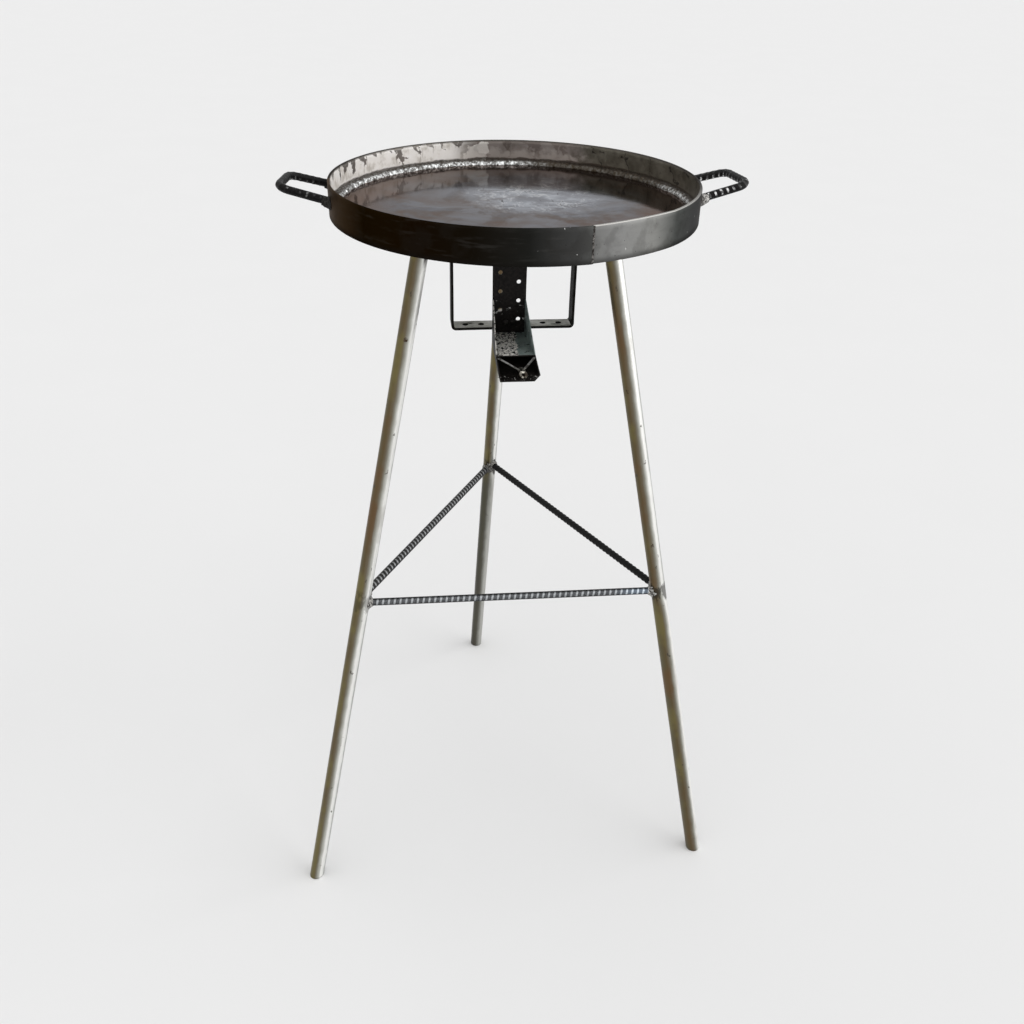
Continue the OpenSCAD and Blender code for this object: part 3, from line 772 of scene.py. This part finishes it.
def strap_metal():
    """The hanger's flat bar: black, with a pale upper face that is scraped steel and painted light."""
    tree = blank("strap_metal")
    vector = place_in(tree)
    y = split(vector)[1]
    up = split(add(tree, "NewGeometry").outputs["Normal"])[2]
    patch = grain(stretch(vector, (34, 70, 60)), 1.0, 5.0, 0.65)
    grit = grain(vector, 300.0, 3.0)
    black = ramp(grit, [(0.35, (0.005, 0.0045, 0.004)), (0.7, (0.014, 0.013, 0.012))])
    pale = ramp(patch, [
        (0.34, (0.03, 0.03, 0.026)),
        (0.42, (0.45, 0.45, 0.40)),
        (0.54, (0.75, 0.75, 0.69)),
        (0.72, (0.95, 0.95, 0.91)),
    ])
    edge = step(math_node("ABSOLUTE", y), 10 * MM, 12.5 * MM)
    pale = paint(pale, edge, (0.035, 0.034, 0.03), 0.75)
    # The up-facing face is pale against black sides: scraped steel, and painted light on the top
    upper = step(up, 0.6, 0.9)
    tint = mix(upper, black, pale)
    metallic = blend_values(upper, 0.7, 0.2)
    roughness = blend_values(patch, 0.55, 0.34)
    return surface(tint, roughness, metallic, [(grit, 0.1 * MM), (patch, 0.2 * MM)], 0.1, 0.3)


def soot_metal(name, base, flakes, green):
    """Sooty sheet steel; flakes is how much pale scale, and green how much bare grey-green, shows. Pale
    dabs low on its upright faces are painted glints.
    """
    tree = blank(name)
    vector = place_in(tree)
    x, y, z = split(vector)
    up = split(add(tree, "NewGeometry").outputs["Normal"])[2]
    grit = grain(vector, 260.0, 4.0, 0.65)
    patch = grain(vector, 55.0, 5.0, 0.65)
    tint = mix(step(grit, 0.35, 0.7), base, tuple(2.6 * c for c in base))
    teal = ramp(patch, [(0.36, (0.13, 0.165, 0.158)), (0.56, (0.24, 0.30, 0.285))])
    pits = step(grain(vector, 130.0, 2.0), 0.62, 0.68)
    teal = mix(pits, teal, (0.012, 0.013, 0.012))
    tint = mix(times(step(patch, 0.30, 0.42), green), tint, teal)
    facing = step(up, 0.6, 0.9)
    top = times(facing, step(z, BOX_TOP - 2 * MM, BOX_TOP - 1 * MM))
    scale = grain(stretch(vector, (170, 120, 170)), 1.0, 5.0, 0.7, 1.4)
    flake = step(scale, 0.44, 0.52)
    tint = mix(times(flake, times(top, flakes)), tint, (0.97, 0.95, 0.89))
    line = plus(times(minus(y, LIP_Y), -BARE_LEAN), x)
    line = frayed(line, patch, 0.012)
    bare = times(step(line, BARE_X - 1 * MM, BARE_X + 2 * MM), top)
    tint = mix(times(bare, flakes), tint, teal)
    # Crumbs of pale scale and painted glints on up-facing faces in front of the lip
    crumbs_and_glints = times(step(scale, 0.57, 0.62), step(y, LIP_Y - 1 * MM, LIP_Y - 4 * MM))
    crumbs_and_glints = times(crumbs_and_glints, minus(facing, top))
    tint = mix(times(crumbs_and_glints, flakes), tint, (0.75, 0.73, 0.70))
    # Painted glints low on the upright faces
    glint_dabs = step(grain(stretch(vector, (110, 110, 190)), 1.0, 3.0, 0.6), 0.63, 0.69)
    glint_dabs = times(glint_dabs, step(z, BOX_TOP + 52 * MM, BOX_TOP + 42 * MM))
    glint_dabs = times(glint_dabs, minus(1.0, facing))
    glint_dabs = times(glint_dabs, step(z, BOX_TOP + 6 * MM, BOX_TOP + 12 * MM))
    tint = paint(tint, glint_dabs, (0.55, 0.56, 0.54), 0.8)
    roughness = blend_values(patch, 0.70, 0.48)
    return surface(tint, roughness, 0.1, [(grit, 0.15 * MM), (flake, 0.12 * MM)], 0.12)


def fastener_metal(name, pale, dark):
    """Small turned or plated pieces: dull metal with stains."""
    tree = blank(name)
    vector = place_in(tree)
    stains = grain(vector, 160.0, 4.0, 0.6)
    grit = grain(vector, 900.0, 2.0)
    tint = mix(step(stains, 0.40, 0.62), pale, dark)
    roughness = blend_values(stains, 0.28, 0.5)
    return surface(tint, roughness, 0.95, [(grit, 0.04 * MM)])


# Pan

def cooking_disc():
    """The disc, slightly warped by heat: rings of points on its upper face, then its underside."""
    around, rings = 240, 64
    radius = DISC_HIGH.x
    points = []
    for face, height in ((1, COOK_Z), (-1, UNDER_Z)):
        order = range(1, rings + 1) if face > 0 else range(rings, 0, -1)
        for i in order:
            r = radius * i / rings
            for j in range(around):
                a = TURN * j / around
                place = (r * math.cos(a), r * math.sin(a), 0.0)
                warp = DISC_WARP * bump_noise(place, 95 * MM, 3.0)
                points.append((place[0], place[1], height + warp - DISC_DROP * (face > 0)))
    faces = grid_faces(2 * rings, around)
    top, bottom = len(points), len(points) + 1
    points.append((0, 0, points[0][2]))
    points.append((0, 0, points[-2][2]))
    last = (2 * rings - 1) * around
    for j in range(around):
        k = (j + 1) % around
        faces.append((top, k, j))
        faces.append((bottom, last + j, last + k))
    return mesh_piece("cooking_disc", points, faces)


def hoop_offset(angle, level):
    """How far the hoop departs from its circle near the seam, where its ends stayed flat.

    angle is in degrees past the seam, level runs from 0 at the lower edge to 1 at the upper."""
    if 0 < angle < FLAT_SPAN:
        arch = 1 - (2 * angle / FLAT_SPAN - 1) ** 2
        return -(FLAT_DEPTH + FLAT_GROWTH * level) * arch - SEAM_STEP * (1 - angle / FLAT_SPAN)
    if -BULGE_SPAN < angle < 0:
        return BULGE * (1 + angle / BULGE_SPAN) ** 2
    return 0.0


def hoop_section():
    """The hoop's cross-section as (share of thickness from the outside, height), with rounded edges."""
    edge = 0.8 * MM
    height = RIM_Z - HOOP_LOW.z
    outside = [(0.0, edge + (height - 2 * edge) * k / 8) for k in range(9)]
    top = [(edge * 0.35, height - edge * 0.3), (edge, height), (HOOP_T - edge, height)]
    top.append((HOOP_T - edge * 0.35, height - edge * 0.3))
    inside = [(HOOP_T, edge + (height - 2 * edge) * k / 8) for k in range(8, -1, -1)]
    bottom = [(HOOP_T - edge * 0.35, edge * 0.3), (HOOP_T - edge, 0.0)]
    bottom += [(edge, 0.0), (edge * 0.35, edge * 0.3)]
    return outside + top + inside + bottom


def hoop_band():
    """The hoop, open by the seam's gap. Material 0 is its outside and material 1 its inside."""
    around = 720
    height = RIM_Z - HOOP_LOW.z
    section = hoop_section()
    half_gap = math.degrees(SEAM_GAP / 2 / PAN_R)
    points = []
    for i in range(around + 1):
        past = half_gap + (360 - 2 * half_gap) * i / around
        signed = past if past < 180 else past - 360
        a = math.radians(SEAM_ANGLE + past)
        for inward, z in section:
            wave = HOOP_WAVE * bump_noise((math.cos(a), math.sin(a), z), 0.35, 7.0)
            r = PAN_R - inward + hoop_offset(signed, z / height) + wave - HOOP_INSET
            points.append((r * math.cos(a), r * math.sin(a), HOOP_LOW.z + z))
    columns = len(section)
    faces = grid_faces(around + 1, columns)
    faces.append(tuple(range(columns - 1, -1, -1)))
    faces.append(tuple(range(around * columns, around * columns + columns)))
    piece = mesh_piece("hoop_band", points, faces)
    inner = {k for k, (inward, z) in enumerate(section) if inward == HOOP_T}
    for polygon in piece.data.polygons:
        if all(v % columns in inner for v in polygon.vertices) and len(polygon.vertices) == 4:
            polygon.material_index = 1
    return piece


def weld_ring():
    """The lumpy bead between the disc and the hoop."""
    around, across = 1200, 16
    root_r, root_z = HOOP_IN_R + 0.3 * MM, COOK_Z - BEAD_SINK
    points = []
    for i in range(around):
        a = TURN * i / around
        place = Vector((math.cos(a), math.sin(a), 0.0)) * HOOP_IN_R
        swell = 1 + 0.28 * bump_noise(place, 22 * MM, 11.0) + 0.16 * bump_noise(place, 7 * MM, 12.0)
        ripple = 0.35 * MM * math.sin(TURN * i / 6 + 2.0 * bump_noise(place, 30 * MM, 13.0))
        for j in range(across):
            t = j / (across - 1) * math.pi / 2
            r = root_r - BEAD_W * swell * math.cos(t)
            z = root_z + (BEAD_H + BEAD_SINK) * swell * math.sin(t)
            spot = (r * math.cos(a), r * math.sin(a), z)
            push = (ripple + 0.7 * MM * bump_noise(spot, 4 * MM, 14.0)) * math.sin(2 * t)
            r -= push * math.cos(t)
            z += push * math.sin(t)
            points.append((r * math.cos(a), r * math.sin(a), z))
        points.append((root_r * math.cos(a), root_r * math.sin(a), root_z))
    return mesh_piece("weld_ring", points, grid_faces(around, across + 1, closed_rows=True))


# Ribbed bars

def rib_height(along, around, spine):
    """Height of the ribs, from 0 to 1, at a length along a bar and an angle around it."""
    turn = (around - spine) % TURN
    half = turn % math.pi
    slant = RIB_SLANT * BAR_R * (half - math.pi / 2) * (1 if turn < math.pi else -1)
    phase = ((along + slant) / RIB_PITCH) % 1.0 - 0.5
    width = RIB_WIDTH / RIB_PITCH / 2
    rise = min(1.0, max(0.0, (width + 0.10 - abs(phase)) / 0.20))
    crescent = max(0.0, math.sin(half)) ** 0.5
    to_spine = min(half, math.pi - half) * BAR_R
    spine_rise = math.exp(-((to_spine / SPINE_WIDTH) ** 2))
    return max(rise * crescent, 0.9 * spine_rise)


def ribbed_bar(name, path, spine=0.0, normal=Vector((0, 0, 1)), rib=RIB_H):
    """A ribbed bar along a path of points. The ribs' spines lie at an angle from the normal."""
    around = 28
    path = [Vector(p) for p in path]
    points, places, heights, flanks = [], [], [], []
    along = 0.0
    for i, centre in enumerate(path):
        ahead = path[min(i + 1, len(path) - 1)] - path[max(i - 1, 0)]
        forward = ahead.normalized()
        side = forward.cross(normal).normalized()
        top = side.cross(forward).normalized()
        if i:
            along += (centre - path[i - 1]).length
        for j in range(around):
            a = TURN * j / around
            h = rib_height(along, a, spine)
            r = BAR_R + rib * h
            points.append(centre + r * (math.cos(a) * top + math.sin(a) * side))
            places.append((BAR_R * math.cos(a), BAR_R * math.sin(a), along))
            heights.append(h)
            flanks.append(math.sin((a - spine) % math.pi))
    faces = grid_faces(len(path), around)
    faces = [tuple(reversed(f)) for f in faces]
    faces.append(tuple(range(around)))
    last = (len(path) - 1) * around
    faces.append(tuple(range(last + around - 1, last - 1, -1)))
    piece = mesh_piece(name, points, faces)
    store(piece, "bar", places, "FLOAT_VECTOR")
    store(piece, "rib", heights)
    store(piece, "flank", flanks)
    return piece


def spaced(points, pitch):
    """Points at an even pitch along a polyline."""
    points = np.array([tuple(p) for p in points], float)
    lengths = np.r_[0, np.cumsum(np.linalg.norm(np.diff(points, axis=0), axis=1))]
    count = max(2, int(round(lengths[-1] / pitch)) + 1)
    at = np.linspace(0, lengths[-1], count)
    return [tuple(np.interp(a, lengths, points[:, k]) for k in range(3)) for a in at]


def bent_path(corners, radius):
    """Points along a polyline whose inner corners are rounded to a radius."""
    corners = [Vector(c) for c in corners]
    path = [corners[0]]
    for a, b, c in zip(corners, corners[1:], corners[2:]):
        come, go = (b - a).normalized(), (c - b).normalized()
        turn = come.angle(go)
        start = b - come * radius * math.tan(turn / 2)
        inward = (go - come * math.cos(turn)).normalized()
        for k in range(13):
            t = turn * k / 12
            path.append(start + radius * (math.sin(t) * come + (1 - math.cos(t)) * inward))
    return path + [corners[-1]]


def handle_path(side, reach, grip):
    """Middle line of a handle from its front weld, sunk a little into the hoop, to its back weld."""
    half = (grip + HANDLE_SPREAD) / 2
    root = math.sqrt((PAN_R - HANDLE_SINK) ** 2 - half ** 2)
    high = HANDLE_Z + HANDLE_RISE
    corners = [
        (side * root, -half, HANDLE_Z),
        (side * (PAN_R + reach), -grip / 2, high),
        (side * (PAN_R + reach - HANDLE_SKEW), grip / 2, high),
        (side * root, half, HANDLE_Z),
    ]
    return bent_path(corners, HANDLE_BEND_R)


def handle_normal(side, reach):
    """The direction square to a handle's plane, upward."""
    tilt = math.atan2(HANDLE_RISE, reach - HANDLE_SKEW / 2)
    return Vector((-side * math.sin(tilt), 0, math.cos(tilt)))


# Legs and braces

def leg_ends(leg):
    """The two ends of a leg's middle line, read from the rings at its cut ends."""
    corners = [v.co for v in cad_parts[leg].data.vertices]
    ends = []
    for level in (0.0, UNDER_Z):
        ring = np.array([tuple(c) for c in corners if abs(c.z - level) < 0.05 * MM])
        middle = (ring.min(0) + ring.max(0)) / 2
        ends.append(Vector((middle[0], middle[1], level)))
    return ends


def leg_at(leg, height):
    """The place on a leg's middle line at a height."""
    foot, top = leg_ends(leg)
    return foot.lerp(top, (height - foot.z) / (top.z - foot.z))


def tube_leg(leg, name):
    """A leg tube with level-cut ends, slightly worn edges and its bore."""
    around, rows = 56, 160
    foot, top = leg_ends(leg)
    axis = (top - foot).normalized()
    side = axis.cross(Vector((0, 1, 0))).normalized()
    front = side.cross(axis)
    edge = 0.7 * MM
    # The wall's outline: outside from foot to top, then the bore from top to foot
    outline = [(LEG_R - edge, 0.0), (LEG_R, edge / (top - foot).length)]
    outline += [(LEG_R, k / rows) for k in range(1, rows)]
    outline += [(LEG_R, 1.0), (LEG_R - LEG_WALL, 1.0), (LEG_R - LEG_WALL, 0.0)]
    points, places = [], []
    for radius, share in outline:
        for j in range(around):
            a = TURN * j / around
            out = radius * (math.cos(a) * side + math.sin(a) * front)
            low = foot + out - axis * (out.z / axis.z)
            high = top + out - axis * (out.z / axis.z)
            dent = 0.12 * MM * bump_noise(low.lerp(high, share), 60 * MM, 21.0)
            points.append(low.lerp(high, share) + out.normalized() * dent)
            places.append((LEG_R * math.cos(a), LEG_R * math.sin(a), share * (top - foot).length))
    piece = mesh_piece(name, points, grid_faces(len(outline), around, closed_rows=True))
    store(piece, "bar", places, "FLOAT_VECTOR")
    piece.data.set_sharp_from_angle(angle=math.radians(50))
    return piece


def brace_path(start_leg, start_z, end_leg, end_z):
    """A brace's middle line from one tube's wall to the other's."""
    a, b = leg_at(start_leg, start_z), leg_at(end_leg, end_z)
    step_in = (b - a).normalized() * (LEG_R - BRACE_SINK)
    return spaced([a + step_in, b - step_in], RIB_PITCH / BRACE_STEPS)


# Materials in use

COOKING = cooking_face()
OUTSIDE = hoop_outside()
INSIDE = hoop_inside()
BEAD = bead_metal()
DARK_WELD = weld_metal("dark_weld", (0.20, 0.19, 0.18), (0.018, 0.015, 0.013), 0.5)
SOOTY_WELD = weld_metal("sooty_weld", (0.03, 0.028, 0.026), (0.008, 0.007, 0.006), 0.55)
SMOOTH_BAR = ribbed_metal(
    "smooth_bar", (0.006, 0.0057, 0.0055), (0.20, 0.20, 0.20), (0.44, 0.56), 0.9, flecked=1.0
)
WORN_GLINTING_BAR = ribbed_metal(
    "worn_bar", (0.007, 0.0066, 0.0064), (0.66, 0.66, 0.66), (0.34, 0.48), 0.2, flecked=0.9
)
GREY_BAR = ribbed_metal(
    "grey_bar", (0.075, 0.078, 0.082), (0.38, 0.395, 0.41), (0.22, 0.45), 0.0, bleached=340 * MM
)
LEFT_BAR = ribbed_metal("left_bar", (0.022, 0.022, 0.022), (0.27, 0.275, 0.28), (0.22, 0.45), 0.4)
DARK_BAR = ribbed_metal("dark_bar", (0.009, 0.0085, 0.008), (0.10, 0.10, 0.10), (0.50, 0.75), 0.6)
BACK_JOINT = weld_metal("back_joint", (0.30, 0.29, 0.27), (0.010, 0.009, 0.008), 0.45)
JOINT_WELD = weld_metal("joint_weld", (0.50, 0.49, 0.47), (0.02, 0.017, 0.015), 0.40)
TUBE = tube_metal()
STRAP = strap_metal()
SOOT = soot_metal("soot_sheet", (0.006, 0.005, 0.0045), 0.95, 0.0)
GREEN_SOOT = soot_metal("green_sheet", (0.02, 0.024, 0.023), 0.0, 0.9)
ZINC = fastener_metal("zinc", (0.50, 0.49, 0.47), (0.12, 0.105, 0.09))
BLACK_ZINC = fastener_metal("black_zinc", (0.03, 0.028, 0.026), (0.01, 0.009, 0.008))
ROD = fastener_metal("rod_steel", (0.19, 0.19, 0.185), (0.05, 0.046, 0.042))
# The gas jet: brass with soot stains, its pale spots partly painted glints
GLINTING_BRASS = fastener_metal("stained_brass", (0.92, 0.88, 0.78), (0.05, 0.04, 0.03))
BRACE_METALS = {"brace_front": GREY_BAR, "brace_left": LEFT_BAR, "brace_right": DARK_BAR}

# Pieces of the pan

settle(cooking_disc(), "griddle_disc", "stand", COOKING)
settle(hoop_band(), "rim_hoop", "stand", OUTSIDE, INSIDE)
settle(weld_ring(), "disc_weld_bead", "stand", BEAD)
seam = lumpy("rim_seam_weld", "seam_weld", 0.5 * MM, 0.3 * MM, 2.5 * MM, 31)
settle(seam, "rim_seam_weld", "stand", DARK_WELD)
for handle, (side, reach, grip) in HANDLES.items():
    path = spaced(handle_path(side, reach, grip), RIB_PITCH / HANDLE_STEPS)
    normal = handle_normal(side, reach)
    bar = ribbed_bar(handle + "_bar", path, math.radians(HANDLE_SPINE * side), normal, HANDLE_RIB_H)
    settle(bar, handle, "stand", SMOOTH_BAR if side < 0 else WORN_GLINTING_BAR)
    welds = lumpy(handle + "_welds", handle + "_beads", 0.5 * MM, 0.6 * MM, 3 * MM, 32 + side)
    settle(welds, handle + "_welds", "stand", SOOTY_WELD if side < 0 else JOINT_WELD)

# Pieces of the stand

for leg in LEGS:
    settle(tube_leg(leg, leg + "_tube"), leg, "stand", TUBE)
    bead = lumpy(leg + "_weld", leg + "_bead", 0.7 * MM, 0.7 * MM, 4 * MM, 41)
    settle(bead, leg + "_weld", "stand", DARK_WELD)
for brace, (start_leg, start_z, end_leg, end_z, spine) in BRACES.items():
    path = brace_path(start_leg, start_z, end_leg, end_z)
    settle(ribbed_bar(brace + "_bar", path, math.radians(spine)), brace, "stand", BRACE_METALS[brace])
for k, leg in enumerate(LEGS):
    node = leg.replace("leg", "brace_welds")
    foot, top = leg_ends(leg)
    drops = []
    for start_leg, start_z, end_leg, end_z, spine in BRACES.values():
        a, b = leg_at(start_leg, start_z), leg_at(end_leg, end_z)
        if leg == start_leg:
            drops += weld_drops(a, top - foot, b - a, 10 + k)
        if leg == end_leg:
            drops += weld_drops(b, top - foot, a - b, 20 + k)
    metal = BACK_JOINT if leg == "leg_back" else JOINT_WELD
    settle(lumpy(node, node + "_beads", 0.6 * MM, 0.6 * MM, 3 * MM, 51, drops), node, "stand", metal)
hanger = worked("hanger_strap", "hanger_bar", 0.5 * MM, 0.3 * MM, 60 * MM, 8 * MM)
settle(hanger, "hanger_strap", "stand", STRAP)
hanger_beads = lumpy("hanger_welds", "hanger_beads", 0.5 * MM, 0.5 * MM, 3 * MM, 61)
settle(hanger_beads, "hanger_welds", "stand", DARK_WELD)
settle(worked("clamp_bolt", "clamp_screw", 0.4 * MM), "clamp_bolt", "stand", ZINC)
settle(worked("wing_nut", "wing_nut_cast", 0.5 * MM), "wing_nut", "stand", ZINC)

# Pieces of the burner

SHEETS = {
    "burner_back_plate": SOOT,
    "burner_inlet_box": SOOT,
    "burner_left_cheek": SOOT,
    "burner_right_cheek": GREEN_SOOT,
    "burner_tongue": SOOT,
}
for sheet, metal in SHEETS.items():
    piece = worked(sheet, sheet + "_sheet", 0.3 * MM, 0.35 * MM, 35 * MM, 6 * MM, 71.0)
    settle(bend_mouth(piece), sheet, "burner", metal)
settle(worked("burner_rivets", "rivet_pair", 0.3 * MM), "burner_rivets", "burner", BLACK_ZINC)
settle(bend_mouth(worked("jet_bracket", "jet_rods", 0.2 * MM)), "jet_bracket", "burner", ROD)
settle(bend_mouth(worked("gas_jet", "gas_jet_body", 0.3 * MM)), "gas_jet", "burner", GLINTING_BRASS)


# Stage, light and camera

def floor():
    """A plain pale floor that keeps the object's shadow."""
    half = 40.0
    corners = [(-half, -half, 0), (half, -half, 0), (half, half, 0), (-half, half, 0)]
    plane = mesh_piece("floor", corners, [(0, 1, 2, 3)], smooth=False)
    tree = blank("pale_floor")
    vector = place_in(tree)
    shades = [(0.0, (0.785, 0.785, 0.785)), (1.0, (0.80, 0.80, 0.80))]
    tint = ramp(grain(vector, 3.0, 2.0), shades)
    plane.data.materials.append(surface(tint, 0.9, 0.0, [], 0.0))


def sun(name, direction, strength, spread):
    """A soft white lamp that shines along a direction; spread is its width in degrees."""
    lamp = bpy.data.lights.new(name, "SUN")
    lamp.energy = strength
    lamp.angle = math.radians(spread)
    holder = bpy.data.objects.new(name, lamp)
    holder.rotation_euler = Vector(direction).to_track_quat("-Z", "Y").to_euler()
    bpy.context.scene.collection.objects.link(holder)


def pale_world():
    """Surroundings that the camera and shiny metal see as pale, and that light the rest softly."""
    world = bpy.data.worlds.new("pale_world")
    world.use_nodes = True
    tree = world.node_tree
    back = next(n for n in tree.nodes if n.type == "BACKGROUND")
    ray = add(tree, "LightPath").outputs
    seen = math_node("MAXIMUM", ray["Is Camera Ray"], ray["Is Glossy Ray"])
    seen = math_node("MAXIMUM", seen, ray["Is Transmission Ray"])
    back.inputs["Color"].default_value = (1, 1, 1, 1)
    tree.links.new(blend_values(seen, 0.55, PALE), back.inputs["Strength"])
    bpy.context.scene.world = world


def photograph_camera():
    """The camera at the photograph's place, from its yaw, pitch and roll."""
    yaw, pitch, roll = (math.radians(a) for a in (CAMERA_YAW, CAMERA_PITCH, CAMERA_ROLL))
    ahead = Vector((math.sin(yaw) * math.cos(pitch), math.cos(yaw) * math.cos(pitch), math.sin(pitch)))
    level = Vector((math.cos(yaw), -math.sin(yaw), 0))
    above = level.cross(ahead)
    right = level * math.cos(roll) + above * math.sin(roll)
    up = above * math.cos(roll) - level * math.sin(roll)
    lens = bpy.data.cameras.new("camera")
    lens.sensor_width = SENSOR
    lens.lens = FOCAL_PIXELS / IMAGE_SIDE * SENSOR
    camera = bpy.data.objects.new("camera", lens)
    turn = Matrix((right, up, -ahead)).transposed()
    camera.matrix_world = Matrix.Translation(CAMERA_PLACE) @ turn.to_4x4()
    bpy.context.scene.collection.objects.link(camera)
    bpy.context.scene.camera = camera


floor()
pale_world()
sun("top_sun", (0.45, 0.35, -1.0), strength=1.2, spread=100)
sun("right_sun", (-1.0, 0.25, -0.35), strength=1.75, spread=70)
photograph_camera()
bpy.context.scene.view_settings.view_transform = "Standard"
